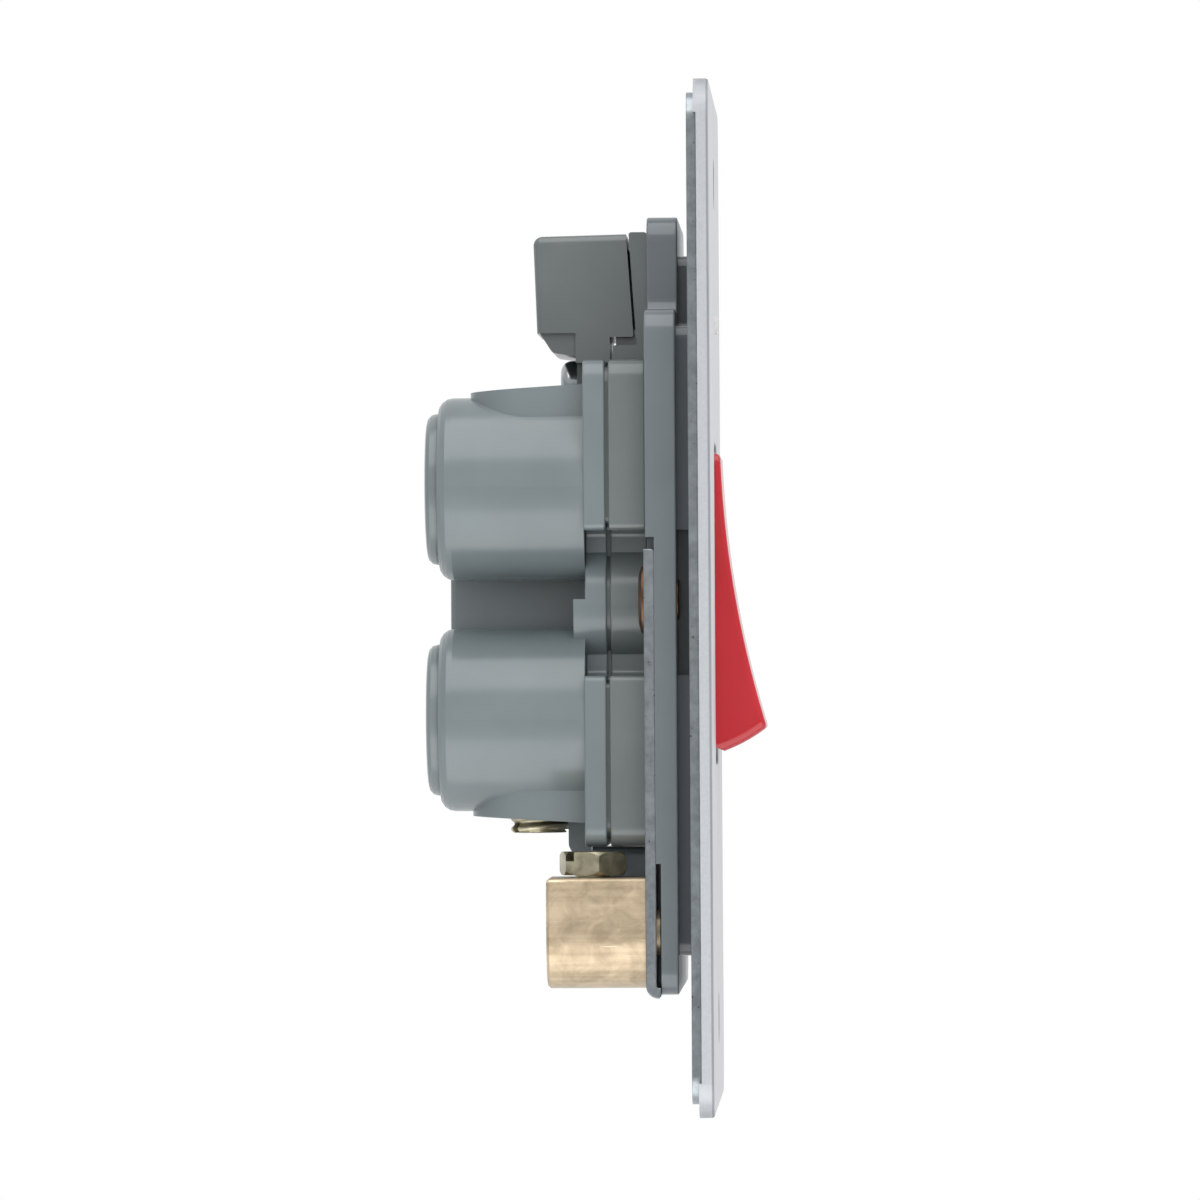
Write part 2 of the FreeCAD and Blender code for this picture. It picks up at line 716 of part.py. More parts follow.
def rocker():
    """Dished rocker: end faces are arcs about the pivot, then a skirt that draws in."""
    tip = pivot_depth - rocker_tip_depth
    shoulder = pivot_depth - rocker_shoulder_depth
    skirt_rear = pivot_depth - skirt_depth
    tuck = rocker_shoulder_height - rocker_tuck
    tuck_y = shoulder + rocker_tuck_depth
    half_angle = (math.asin(rocker_tip_height / rocker_end_radius)
                  + math.asin(rocker_shoulder_height / rocker_end_radius)) / 2
    end_y = pivot_depth - rocker_end_radius * math.cos(half_angle)
    end_z = rocker_end_radius * math.sin(half_angle)

    def spot(y, z):
        return Vector(-rocker_width / 2, y, module_z + z)

    edges = [Part.Arc(spot(tip, -rocker_tip_height), spot(tip + rocker_dish, 0),
                      spot(tip, rocker_tip_height)).toShape(),
             Part.Arc(spot(tip, rocker_tip_height), spot(end_y, end_z),
                      spot(shoulder, rocker_shoulder_height)).toShape()]
    back = [spot(shoulder, rocker_shoulder_height), spot(tuck_y, tuck),
            spot(skirt_rear, tuck - 0.3), spot(skirt_rear, 0.3 - tuck),
            spot(tuck_y, -tuck), spot(shoulder, -rocker_shoulder_height)]
    for start, end in zip(back, back[1:]):
        edges.append(Part.LineSegment(start, end).toShape())
    edges.append(Part.Arc(spot(shoulder, -rocker_shoulder_height), spot(end_y, -end_z),
                          spot(tip, -rocker_tip_height)).toShape())
    body = Part.Face(Part.Wire(edges)).extrude(Vector(rocker_width, 0, 0))
    side = rocker_width / 2

    def on_end(edge):
        box = edge.BoundBox
        height = abs((box.ZMin + box.ZMax) / 2 - module_z)
        return box.XLength < 1e-4 and height > rocker_tip_height - 1 and box.YMax < shoulder + 1e-3

    body = rounded(body, rocker_corner_round, on_end)
    body = rounded(body, rocker_edge_round, lambda edge: edge.BoundBox.YMax < tip + rocker_dish + 0.2
                   and edge.BoundBox.ZLength > 2 * rocker_tip_height - 6)
    inner_front = tip + rocker_dish + rocker_wall
    inner_side = side - rocker_wall
    hollow = rod(rocker_end_radius - rocker_wall, (-inner_side, pivot_depth, module_z),
                 (inner_side, pivot_depth, module_z))
    room = tuck - rocker_wall
    hollow = hollow.common(block(-side, side, inner_front, pivot_depth + 5,
                                 module_z - room, module_z + room))
    shell = body.cut(hollow)
    shapes = [shell]
    ear_radius = trunnion_radius + 1.9
    for hand in (-1, 1):
        x0 = hand * inner_side
        x1 = hand * side
        ear = rod(ear_radius, (x0, pivot_depth, module_z), (x1, pivot_depth, module_z))
        root = block(min(x0, x1), max(x0, x1), skirt_rear - 1, pivot_depth,
                     module_z - ear_radius, module_z + ear_radius)
        pin_end = hand * (side + trunnion_length)
        pin = rod(trunnion_radius, (x0, pivot_depth, module_z), (pin_end, pivot_depth, module_z))
        pin = pin.makeChamfer(0.3, [edge for edge in pin.Edges if edge.BoundBox.XLength < 1e-4
                                    and abs(edge.BoundBox.XMin - pin_end) < 1e-4])
        boss = rod(plunger_radius + plunger_boss_wall, (hand * pole_x, inner_front - 0.2, module_z),
                   (hand * pole_x, pivot_depth + 2.2, module_z))
        shapes += [ear, root, pin, boss]
    shapes.append(block(-inner_side, inner_side, inner_front - 0.2, pivot_depth - 2,
                        module_z - 0.7, module_z + 0.7))
    shapes.append(block(-0.7, 0.7, inner_front - 0.2, pivot_depth - 2, module_z - room, module_z + room))
    whole = fuse(shapes)
    for hand in (-1, 1):
        whole = whole.cut(rod(plunger_radius + running_clearance, (hand * pole_x, inner_front + 1, module_z),
                              (hand * pole_x, pivot_depth + 3, module_z)))
    return tilted(whole, -rocker_tilt)


def spring_start():
    return pivot_depth - rocker_tip_depth + rocker_dish + rocker_wall + 1


def plunger(right):
    """Sprung plunger with a round nose, in its bore in the rocker."""
    x = pole_x if right else -pole_x
    tail = pivot_depth - 0.4
    tip = pivot_depth + plunger_reach
    shoulder = tip - 2.2
    nose_centre = tip - plunger_tip_radius
    stem = turned([(0, tail), (plunger_radius - 0.3, tail), (plunger_radius, tail + 0.3),
                   (plunger_radius, shoulder), (plunger_tip_radius, nose_centre), (0, nose_centre)],
                  x, module_z)
    nose = Part.makeSphere(plunger_tip_radius, Vector(x, nose_centre, module_z))
    return tilted(fuse([stem, nose]), -rocker_tilt)


def plunger_spring(right):
    """Coil of six-sided wire between the bottom of the rocker's bore and the plunger's tail."""
    x = pole_x if right else -pole_x
    start = spring_start() + spring_wire_radius + 0.03
    end = pivot_depth - 0.4 - spring_wire_radius - 0.03
    mean_radius = plunger_radius - spring_wire_radius - 0.2
    helix = Part.makeHelix((end - start) / spring_turns, end - start, mean_radius)
    turns = [math.radians(60 * corner) for corner in range(7)]
    section = Part.makePolygon([Vector(mean_radius + spring_wire_radius * math.cos(turn), 0,
                                       spring_wire_radius * math.sin(turn)) for turn in turns])
    coil = Part.Wire(helix.Edges).makePipeShell([section], True, True)
    coil.rotate(Vector(0, 0, 0), Vector(1, 0, 0), -90)
    coil.translate(Vector(x, start, module_z))
    return tilted(coil, -rocker_tilt)


def earth_strap():
    """Steel strip whose lower end curls forward under the frame's edge."""
    inside = 0.35
    outside = inside + strap_thickness
    bend_y = strap_front - inside
    bend_z = strap_bottom + outside
    place = lambda y, z: Vector(strap_x, y, z)
    diagonal = math.sqrt(0.5)
    toe = bend_y - 0.25
    top_round = 0.5
    edges = [Part.LineSegment(place(strap_rear, bend_z), place(strap_rear, strap_top)),
             Part.LineSegment(place(strap_rear, strap_top), place(strap_front + top_round, strap_top)),
             Part.Arc(place(strap_front + top_round, strap_top),
                      place(strap_front + top_round * (1 - diagonal), strap_top - top_round * (1 - diagonal)),
                      place(strap_front, strap_top - top_round)),
             Part.LineSegment(place(strap_front, strap_top - top_round), place(strap_front, bend_z)),
             Part.Arc(place(strap_front, bend_z),
                      place(bend_y + inside * diagonal, bend_z - inside * diagonal),
                      place(bend_y, bend_z - inside)),
             Part.LineSegment(place(bend_y, bend_z - inside), place(toe, bend_z - inside)),
             Part.LineSegment(place(toe, bend_z - inside), place(toe, strap_bottom + 0.3)),
             Part.LineSegment(place(toe, strap_bottom + 0.3), place(bend_y, strap_bottom)),
             Part.Arc(place(bend_y, strap_bottom),
                      place(bend_y + outside * diagonal, bend_z - outside * diagonal),
                      place(strap_rear, bend_z))]
    wire = Part.Wire([edge.toShape() for edge in edges])
    strip = Part.Face(wire).extrude(Vector(strap_width, 0, 0))
    rivet_hole = rod(rivet_shank_radius, (rivet_x, 0, rivet_z), (rivet_x, 20, rivet_z))
    tenon_z = earth_top - earth_height / 2
    tenon_hole = rod(earth_tenon_radius, (tenon_x, 0, tenon_z), (tenon_x, 20, tenon_z))
    return strip.cut([rivet_hole, tenon_hole])


def earth_rivet():
    """Brass eyelet with a domed head on the strap and a rolled end in front of the frame."""
    head = rivet_head_radius
    rim = strap_rear + 0.3
    back = strap_rear + rivet_head_height
    front = platform_depth
    roll = rivet_shank_radius + rivet_roll
    points = [(rivet_bore_radius, front - rivet_roll_height), (roll - 0.15, front - rivet_roll_height),
              (roll, front - rivet_roll_height + 0.15), (roll, front), (rivet_shank_radius, front),
              (rivet_shank_radius, strap_rear), (head, strap_rear),
              (head, rim), (head - 0.5, rim + 0.25), (head - 1.4, back), (rivet_bore_radius, back)]
    return turned(points, rivet_x, rivet_z)


def earth_terminal():
    """Brass block riveted to the strap by its tenon."""
    half = earth_width / 2
    centre_z = earth_top - earth_height + half
    round_half = rod(half, (earth_x, strap_rear, centre_z), (earth_x, earth_rear, centre_z))
    flat_half = block(earth_x - half, earth_x + half, strap_rear, earth_rear, centre_z, earth_top)
    body = fuse([round_half, flat_half])
    body = rounded(body, 0.6, lambda edge: edge.BoundBox.YLength > 5
                   and edge.BoundBox.ZMin > earth_top - 0.1)
    body = body.makeChamfer(0.4, [edge for edge in body.Edges if edge_at_depth(edge, earth_rear)])
    tenon_z = earth_top - earth_height / 2
    tenon = rod(earth_tenon_radius, (tenon_x, strap_front - 0.1, tenon_z),
                (tenon_x, strap_rear + 0.5, tenon_z))
    peened = rod(earth_tenon_radius + 0.8, (tenon_x, strap_front - 0.5, tenon_z),
                 (tenon_x, strap_front, tenon_z))
    body = fuse([body, tenon, peened])
    cable = rod(cable_bore_radius, (earth_x, strap_rear + earth_bore_floor, centre_z),
                (earth_x, earth_rear + 1, centre_z))
    thread = rod(earth_screw_radius, (earth_x, earth_screw_y(), centre_z),
                 (earth_x, earth_screw_y(), earth_top + 1))
    return body.cut([cable, thread])


def earth_screw_y():
    return strap_rear + earth_length / 2 + earth_screw_offset


def earth_screw():
    """Slotted hexagon-head screw standing a little off the terminal."""
    y = earth_screw_y()
    low = earth_top + earth_screw_lift
    high = low + earth_screw_head
    radius = earth_screw_across / 2
    corners = []
    for index in range(6):
        angle = math.radians(60 * index + 12)
        corners.append(Vector(earth_x + radius * math.cos(angle), y + radius * math.sin(angle), low))
    head = Part.Face(Part.makePolygon(corners + corners[:1])).extrude(Vector(0, 0, high - low))
    lower_cone = Part.makeCone(radius - 0.6, radius + 1.4, 2.0, Vector(earth_x, y, low), Vector(0, 0, 1))
    upper_cone = Part.makeCone(radius + 1.4, radius - 0.6, 2.0, Vector(earth_x, y, high - 2), Vector(0, 0, 1))
    middle = rod(radius + 0.2, (earth_x, y, low + 0.9), (earth_x, y, high - 0.9))
    x0 = earth_x - earth_screw_across
    x1 = earth_x + earth_screw_across
    y0 = y - earth_screw_across
    y1 = y + earth_screw_across
    envelope = fuse([lower_cone.common(block(x0, x1, y0, y1, low, low + 0.9)), middle,
                     upper_cone.common(block(x0, x1, y0, y1, high - 0.9, high))])
    head = head.common(envelope)
    slot = block(earth_x - 8, earth_x + 8, y - 0.6, y + 0.6, high - 1.3, high + 1)
    slot.rotate(Vector(earth_x, y, high), Vector(0, 0, 1), -42)
    bore_top = earth_top - earth_height + earth_width / 2 + cable_bore_radius
    shank = rod(earth_screw_radius, (earth_x, y, bore_top + 0.1), (earth_x, y, low + 0.2))
    return fuse([head.cut(slot), shank])


def indicator_lens():
    """Clear lens: a domed stem through the plates and a flange inside the frame."""
    front = plate_front - lens_proud
    points = [(0, front), (lens_radius * 0.55, front + 0.06), (lens_radius * 0.88, front + 0.22),
              (lens_radius, front + 0.5), (lens_radius, 0.1),
              (lens_flange_radius, 0.1), (lens_flange_radius, 1.6),
              (lens_radius, 1.6), (lens_radius, frame_rear + 1.4), (0, frame_rear + 1.4)]
    return turned(points, 0, lens_z)


def indicator_housing():
    """Box behind the lamp: its front leans, a neck joins it to the tab under the upper screw."""
    half = lamp_block_width / 2
    front = lamp_block_front
    neck_front = housing_front - 0.35
    neck_low = module_z + body_height / 2 + 0.1
    rear_low = lamp_block_rear - 0.5
    r = lamp_block_round
    box = bar([(front, lamp_block_bottom, 0.3), (front + lamp_block_lean, lamp_block_top, 0),
               (lamp_block_rear, lamp_block_top - 0.3, r), (rear_low, lamp_block_rear_bottom, 0),
               (neck_front, lamp_block_rear_bottom, 0), (neck_front, lamp_block_bottom, 0)], -half, half)
    box = rounded(box, 1.2, lambda edge: edge.BoundBox.XLength < 1e-4
                  and (edge.BoundBox.ZMin > lamp_block_top - 1 or edge.BoundBox.YMin > rear_low - 0.1))
    lip = bar([(lamp_neck_rear - 0.5, lamp_block_rear_bottom + 1, 0),
               (rear_low - 0.4, lamp_block_rear_bottom + 1, 0),
               (rear_low - 0.4, lamp_block_rear_bottom, 0),
               (rear_low - 2.2, lamp_lip_bottom + 0.5, 1.2),
               (lamp_neck_rear - 0.5, lamp_lip_bottom - 0.1, 0)], 0.9 - half, half - 0.9)
    neck = block(-half, half, neck_front, lamp_neck_rear, neck_low, lamp_block_rear_bottom + 1)
    wide = lamp_tab_half_width
    tab_low = module_z + lamp_tab_bottom
    tab = slab([(-wide, tab_low, 2), (wide, tab_low, 2), (wide, neck_low + 1, 0), (-wide, neck_low + 1, 0)],
               flange_rear, lamp_neck_rear)
    whole = fuse([box, lip, neck, tab])
    wall = lamp_block_wall
    floor = lamp_block_rear_bottom + lamp_floor
    room = block(wall - half, half - wall, front - 1, lamp_block_rear - wall - 0.5,
                 floor, lamp_block_top - wall - 0.3)
    cutters = [room]
    z = module_z + module_screw_z
    cutters.append(rod(module_screw_radius + 0.1, (0, flange_rear - 1, z), (0, flange_rear + 3, z)))
    for side in (-1, 1):
        x = lead_x * side
        cutters.append(block(x - 0.9, x + 0.9, neck_front - 1, lead_front + lead_thickness + 0.2,
                             neck_low - 1, floor + 0.1))
    return whole.cut(cutters)


def indicator_carrier():
    """Plate in front of the lamp block, leaning with it, and a ledge below."""
    half = lamp_block_width / 2 + 0.5
    bottom = module_z + body_height / 2 + 0.1
    ledge_top = bottom + ledge_height
    gap = lamp_gap
    slope = lamp_block_lean / (lamp_block_top - lamp_block_bottom)
    lower = lamp_block_front - gap - slope * (lamp_block_bottom - ledge_top)
    upper = lamp_block_front + lamp_block_lean - gap
    ledge_rear = housing_front - 0.8
    profile = [(frame_rear, bottom, 0), (frame_rear, carrier_top, 0.4), (upper, carrier_top, 0.4),
               (lower, ledge_top, 0.2), (ledge_rear, ledge_top, 0.4), (ledge_rear, bottom, 0)]
    rest = block(2 - half, half - 2, lower, ledge_rear - 0.4, ledge_top,
                 lamp_block_bottom - running_clearance)
    carrier = fuse([bar(profile, -half, half), rest])
    return carrier.cut(rod(lens_radius + 0.35, (0, frame_rear - 1, lens_z), (0, frame_rear + 6, lens_z)))


def indicator_lamp():
    """Small lamp behind the lens, with a rim at its base."""
    front = frame_rear + 2.3
    rim = lead_front + lead_thickness
    points = [(0, front), (lamp_radius * 0.6, front + 0.25), (lamp_radius, front + 1.0),
              (lamp_radius, rim - 0.8), (lamp_radius + 0.3, rim - 0.8), (lamp_radius + 0.3, rim), (0, rim)]
    return turned(points, 0, lens_z + lamp_rise)


def indicator_board():
    """Circuit board with the resistors behind it."""
    front = lead_front + lead_thickness
    bottom = lamp_block_rear_bottom + lamp_floor + 0.3
    top = lamp_block_top - 2.1
    rear = front + board_thickness
    shapes = [block(-board_half_width, board_half_width, front, rear, bottom, top)]
    for x in (-resistor_x, resistor_x):
        depth = rear + resistor_radius - 0.2
        shapes.append(rod(resistor_radius, (x, depth, bottom + 2.5), (x, depth, top - 2.5)))
    return fuse(shapes)


def indicator_lead(side):
    """Flat lead from the board through the neck to an outgoing terminal's plate."""
    x = lead_x * side
    y0 = lead_front
    y1 = lead_front + lead_thickness
    end_x = (turret_x - terminal_half_width + 1.5) * side
    end_z = module_z + turret_z + 2
    down = block(x - 0.6, x + 0.6, y0, y1, end_z, lamp_block_bottom + 5)
    across = block(min(x - 0.6 * side, end_x), max(x - 0.6 * side, end_x), y0, y1, end_z, end_z + 1.2)
    back = block(end_x - 0.6, end_x + 0.6, y0, fixed_bar_front, end_z, end_z + 1.2)
    return fuse([down, across, back])


def module_screw(upper):
    """Long pan-head screw that holds the mechanism to the frame."""
    z = module_z + (module_screw_z if upper else -module_screw_z)
    seat = lamp_neck_rear if upper else flange_rear + 0.6
    head = rod(module_screw_head_radius, (0, seat, z), (0, seat + module_screw_head_height, z))
    head = rounded(head, 1.6, lambda edge: edge_at_depth(edge, seat + module_screw_head_height))
    shank = rod(module_screw_radius, (0, platform_depth + 0.6, z), (0, seat + 0.3, z))
    cross = [block(-1.6, 1.6, seat + 1.3, seat + 4, z - 0.35, z + 0.35),
             block(-0.35, 0.35, seat + 1.3, seat + 4, z - 1.6, z + 1.6)]
    return fuse([head, shank]).cut(cross)


def frame_screw(x, z):
    head = Part.makeCone(frame_screw_radius, frame_screw_radius + 1.3, 1.3,
                         Vector(x, frame_rear - 1.3, z), Vector(0, 1, 0))
    shank = rod(frame_screw_radius, (x, -backing_thickness, z), (x, frame_rear - 1.0, z))
    slot = block(x - 3, x + 3, frame_rear - 0.6, frame_rear + 1, z - 0.3, z + 0.3)
    return fuse([head, shank]).cut(slot)


def contact_buttons():
    depth = fixed_bar_front - 0.9
    button = contact_button(depth, module_z + contact_reach, 0.9)
    return Part.Compound([button, mirrored(button)])


nodes = {
    "front_plate": front_plate(),
    "backing_plate": backing_plate(),
    "mounting_frame": mounting_frame(),
    "mechanism_base": mechanism_base(),
    "terminal_housing": terminal_housing(),
    "rocker": rocker(),
    "indicator_lens": indicator_lens(),
    "indicator_housing": indicator_housing(),
    "indicator_carrier": indicator_carrier(),
    "indicator_lamp": indicator_lamp(),
    "indicator_board": indicator_board(),
    "indicator_leads": Part.Compound([indicator_lead(1), indicator_lead(-1)]),
    "line_in_terminal": terminal(True, False),
    "line_out_terminal": terminal(True, True),
    "neutral_in_terminal": terminal(False, False),
    "neutral_out_terminal": terminal(False, True),
    "terminal_screws": Part.Compound([terminal_screw(upper, right)
                                      for upper in (True, False) for right in (True, False)]),
    "line_fixed_contact": fixed_contact(True),
    "neutral_fixed_contact": fixed_contact(False),
    "line_pivot_bar": pivot_bar(True),
    "neutral_pivot_bar": pivot_bar(False),
    "contact_buttons": contact_buttons(),
    "line_contact_arm": contact_arm(True),
    "neutral_contact_arm": contact_arm(False),
    "line_arm_button": arm_button(True),
    "neutral_arm_button": arm_button(False),
    "line_plunger": plunger(True),
    "neutral_plunger": plunger(False),
    "line_plunger_spring": plunger_spring(True),
    "neutral_plunger_spring": plunger_spring(False),
    "earth_strap": earth_strap(),
    "earth_rivet": earth_rivet(),
    "earth_terminal": earth_terminal(),
    "earth_screw": earth_screw(),
    "module_screws": Part.Compound([module_screw(True), module_screw(False)]),
    "frame_screws": Part.Compound([frame_screw(x, z) for x, z in frame_screw_places()]),
}

os.makedirs("parts", exist_ok=True)
for name, shape in nodes.items():
    shape.exportStep("parts/" + name + ".step")
    print(name, len(shape.Solids), shape.isValid(), round(shape.Volume, 1))
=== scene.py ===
"""Looks of a double-pole cooker switch on a tall two-gang plate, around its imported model.

Metres, +Z up, the front faces -Y and the earth terminal is on the -X side, towards the camera.
"""
import json
import math

import bmesh
import bpy
import numpy as np
from mathutils import Matrix, Vector


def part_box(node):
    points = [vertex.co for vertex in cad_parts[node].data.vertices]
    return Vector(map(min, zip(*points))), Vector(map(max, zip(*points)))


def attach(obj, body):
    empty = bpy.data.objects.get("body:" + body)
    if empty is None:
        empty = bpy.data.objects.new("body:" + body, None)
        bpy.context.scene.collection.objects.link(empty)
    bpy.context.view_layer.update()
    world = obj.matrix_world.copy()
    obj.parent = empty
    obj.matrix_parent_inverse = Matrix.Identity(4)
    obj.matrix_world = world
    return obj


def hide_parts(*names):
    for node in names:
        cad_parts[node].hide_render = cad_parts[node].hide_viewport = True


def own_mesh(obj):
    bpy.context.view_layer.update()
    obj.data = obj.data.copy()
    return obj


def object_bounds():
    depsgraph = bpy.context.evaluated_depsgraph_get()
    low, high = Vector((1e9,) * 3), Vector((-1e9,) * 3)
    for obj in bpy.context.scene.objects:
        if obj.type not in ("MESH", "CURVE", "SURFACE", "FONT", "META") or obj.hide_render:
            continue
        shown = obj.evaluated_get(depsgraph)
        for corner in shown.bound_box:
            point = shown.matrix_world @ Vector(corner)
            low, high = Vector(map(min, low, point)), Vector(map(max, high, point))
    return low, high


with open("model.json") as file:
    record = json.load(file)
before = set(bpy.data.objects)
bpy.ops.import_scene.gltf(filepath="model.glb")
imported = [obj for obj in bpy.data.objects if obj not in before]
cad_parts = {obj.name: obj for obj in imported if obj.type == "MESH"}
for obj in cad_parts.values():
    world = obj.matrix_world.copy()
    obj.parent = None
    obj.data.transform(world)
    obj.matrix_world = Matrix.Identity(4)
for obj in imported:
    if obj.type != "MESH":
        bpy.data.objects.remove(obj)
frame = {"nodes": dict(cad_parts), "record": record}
cad_low, cad_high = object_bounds()
scene = bpy.context.scene
MM = 0.001

# Real sizes of the patterns, in millimetres; a belt's lines and a mould's grain are finer than
# here, and are drawn as coarse as they need to be to show
flow_mm = 11.0
brush_line_mm = 0.25
stroke_mm = 16.5
speckle_mm = 0.4
cloud_mm = 2.4
pit_spacing_mm = 0.9
pit_patch_mm = 2.0
drawn_line_mm = 0.8
blot_mm = 3.1
scratch_mm = (1.1, 9.0, 0.38)
skin_cloud_mm = 1.9

# Depths of the brushed and the drawn lines, in millimetres
brush_depth_mm = 0.004
drawn_depth_mm = 0.01

# A pit takes pit_share of its spacing, and drawn_share of the brass's shade comes from its lines
pit_share = 0.22
drawn_share = 0.35
blanked_edge = 0.35 * MM
scratch_turn = (0.55, 0.2, 0.0)

# Roughness of the plate's face and of its edge, and what flow marks, a cloudy skin and the brass's
# blots take from a finish's roughness and add to it
brushed_roughness = (0.48, 0.62)
tumbled_roughness = 0.7
flow_gloss = 0.025
skin_gloss = 0.06
blot_gloss = (0.06, 0.1)


def linear(code):
    """Linear colour of an sRGB hex code such as 8A9294."""
    shares = [int(code[i:i + 2], 16) / 255 for i in (0, 2, 4)]
    curve = [c / 12.92 if c <= 0.04045 else ((c + 0.055) / 1.055) ** 2.4 for c in shares]
    return (*curve, 1.0)


def per_metre(size_mm):
    """Scale at which a pattern's features have a real size in millimetres."""
    return 1 / (size_mm * MM)


def fill(tree, node, inputs):
    """Gives a node's inputs plain values, or links them to other nodes' outputs."""
    for name, value in inputs.items():
        if isinstance(value, bpy.types.NodeSocket):
            tree.links.new(value, node.inputs[name])
        else:
            node.inputs[name].default_value = value


def add(tree, kind, inputs=None, stops=(), **settings):
    """Adds a node with its settings, its inputs and, on a colour ramp, its stops (position, hex)."""
    node = tree.nodes.new(kind)
    for name, value in settings.items():
        setattr(node, name, value)
    fill(tree, node, inputs or {})
    for number, (position, code) in enumerate(stops):
        elements = node.color_ramp.elements
        if number >= len(elements):
            elements.new(position)
        elements[number].position = position
        elements[number].color = linear(code)
    return node


def new_material(name, values):
    """Material with one shader, whose uniform sockets take the values, and its Object coordinates."""
    material = bpy.data.materials.new(name)
    material.use_nodes = True
    tree = material.node_tree
    shader = tree.nodes["Principled BSDF"]
    fill(tree, shader, values)
    place = add(tree, "ShaderNodeTexCoord")
    return material, tree, shader, place.outputs["Object"]


def moulded_plastic(name, dark, light, roughness, grain_mm=0.35, grain_height_mm=0.012, ior=1.58):
    """Filled thermoset or ABS from a spark-eroded mould: the eye sees a fine matt grain, and slow,
    faint marks of the melt's flow in the shade and in the gloss."""
    material, tree, shader, place = new_material(name, {"IOR": ior})
    flow = add(tree, "ShaderNodeTexNoise", {
        "Vector": place, "Scale": per_metre(flow_mm), "Detail": 3.0})
    shade = add(tree, "ShaderNodeValToRGB", {"Fac": flow.outputs["Fac"]},
                stops=[(0.2, dark), (0.8, light)])
    gloss = add(tree, "ShaderNodeMapRange", {
        "Value": flow.outputs["Fac"], "From Min": 0.1, "From Max": 0.9,
        "To Min": roughness - flow_gloss, "To Max": roughness + flow_gloss})
    grain = add(tree, "ShaderNodeTexNoise", {
        "Vector": place, "Scale": per_metre(grain_mm), "Detail": 2.0})
    bump = add(tree, "ShaderNodeBump", {
        "Height": grain.outputs["Fac"], "Strength": 0.2, "Distance": grain_height_mm * MM})
    fill(tree, shader, {"Base Color": shade.outputs["Color"], "Roughness": gloss.outputs["Result"],
                        "Normal": bump.outputs["Normal"]})
    return material


def brushed_steel(name):
    """Satin stainless sheet: the eye sees fine upright lines from the abrasive belt on the face, and a
    smooth, tumbled edge that the belt doesn't reach. A darker line where the face rolls over is painted
    shade, and the ends and corners that face up or down are darkened with painted shade."""
    material, tree, shader, place = new_material(name, {"Metallic": 1.0, "Anisotropic": 0.4})
    across = per_metre(brush_line_mm)
    drawn = add(tree, "ShaderNodeMapping", {
        "Vector": place, "Scale": (across, across, per_metre(stroke_mm))})
    brush = add(tree, "ShaderNodeTexNoise", {
        "Vector": drawn.outputs["Vector"], "Scale": 1.0, "Detail": 3.0})
    brushed = add(tree, "ShaderNodeValToRGB", {"Fac": brush.outputs["Fac"]},
                  stops=[(0.3, "BFC0C2"), (0.7, "D3D4D6")])
    speckle = add(tree, "ShaderNodeTexNoise", {
        "Vector": place, "Scale": per_metre(speckle_mm), "Detail": 2.0})
    tumbled = add(tree, "ShaderNodeValToRGB", {"Fac": speckle.outputs["Fac"]},
                  stops=[(0.3, "C4C6C8"), (0.7, "CACCCE")])
    own = add(tree, "ShaderNodeTexCoord")
    facing = add(tree, "ShaderNodeSeparateXYZ", {"Vector": own.outputs["Normal"]})
    flat = add(tree, "ShaderNodeMath", {0: facing.outputs["Y"]}, operation="ABSOLUTE")
    edge = add(tree, "ShaderNodeMapRange", {
        "Value": flat.outputs["Value"], "From Min": 0.3, "From Max": 0.9, "To Min": 1.0, "To Max": 0.0})
    sheet = add(tree, "ShaderNodeMix", {
        "Factor": edge.outputs["Result"], "A": brushed.outputs["Color"],
        "B": tumbled.outputs["Color"]}, data_type="RGBA")
    # Painted shade: a darker line multiplied into the colour where the face rolls round into the edge
    rolled = add(tree, "ShaderNodeValToRGB", {"Fac": flat.outputs["Value"]},
                 stops=[(0.1, "FFFFFF"), (0.3, "D2D2D4"), (0.75, "D2D2D4"), (0.97, "FFFFFF")])
    sheet_with_painted_line = add(tree, "ShaderNodeMix", {
        "Factor": 1.0, "A": sheet.outputs["Result"], "B": rolled.outputs["Color"]},
        data_type="RGBA", blend_type="MULTIPLY")
    # Painted shade: faces pointing up or down, the plate's ends and corners, are darkened to dim the
    # overhead box's reflection on them
    upright = add(tree, "ShaderNodeMath", {0: facing.outputs["Z"]}, operation="ABSOLUTE")
    painted_shade_ends = add(tree, "ShaderNodeValToRGB", {"Fac": upright.outputs["Value"]},
                   stops=[(0.1, "FFFFFF"), (0.6, "DADADC")])
    colour = add(tree, "ShaderNodeMix", {
        "Factor": 1.0, "A": sheet_with_painted_line.outputs["Result"], "B": painted_shade_ends.outputs["Color"]},
        data_type="RGBA", blend_type="MULTIPLY")
    gloss = add(tree, "ShaderNodeMapRange", {
        "Value": brush.outputs["Fac"], "To Min": brushed_roughness[0],
        "To Max": brushed_roughness[1]})
    dulled = add(tree, "ShaderNodeMix", {
        "Factor": edge.outputs["Result"], "A": gloss.outputs["Result"], "B": tumbled_roughness})
    bump = add(tree, "ShaderNodeBump", {
        "Height": brush.outputs["Fac"], "Strength": 0.12, "Distance": brush_depth_mm * MM})
    fill(tree, shader, {"Base Color": colour.outputs["Result"], "Roughness": dulled.outputs["Result"],
                        "Normal": bump.outputs["Normal"]})
    return material


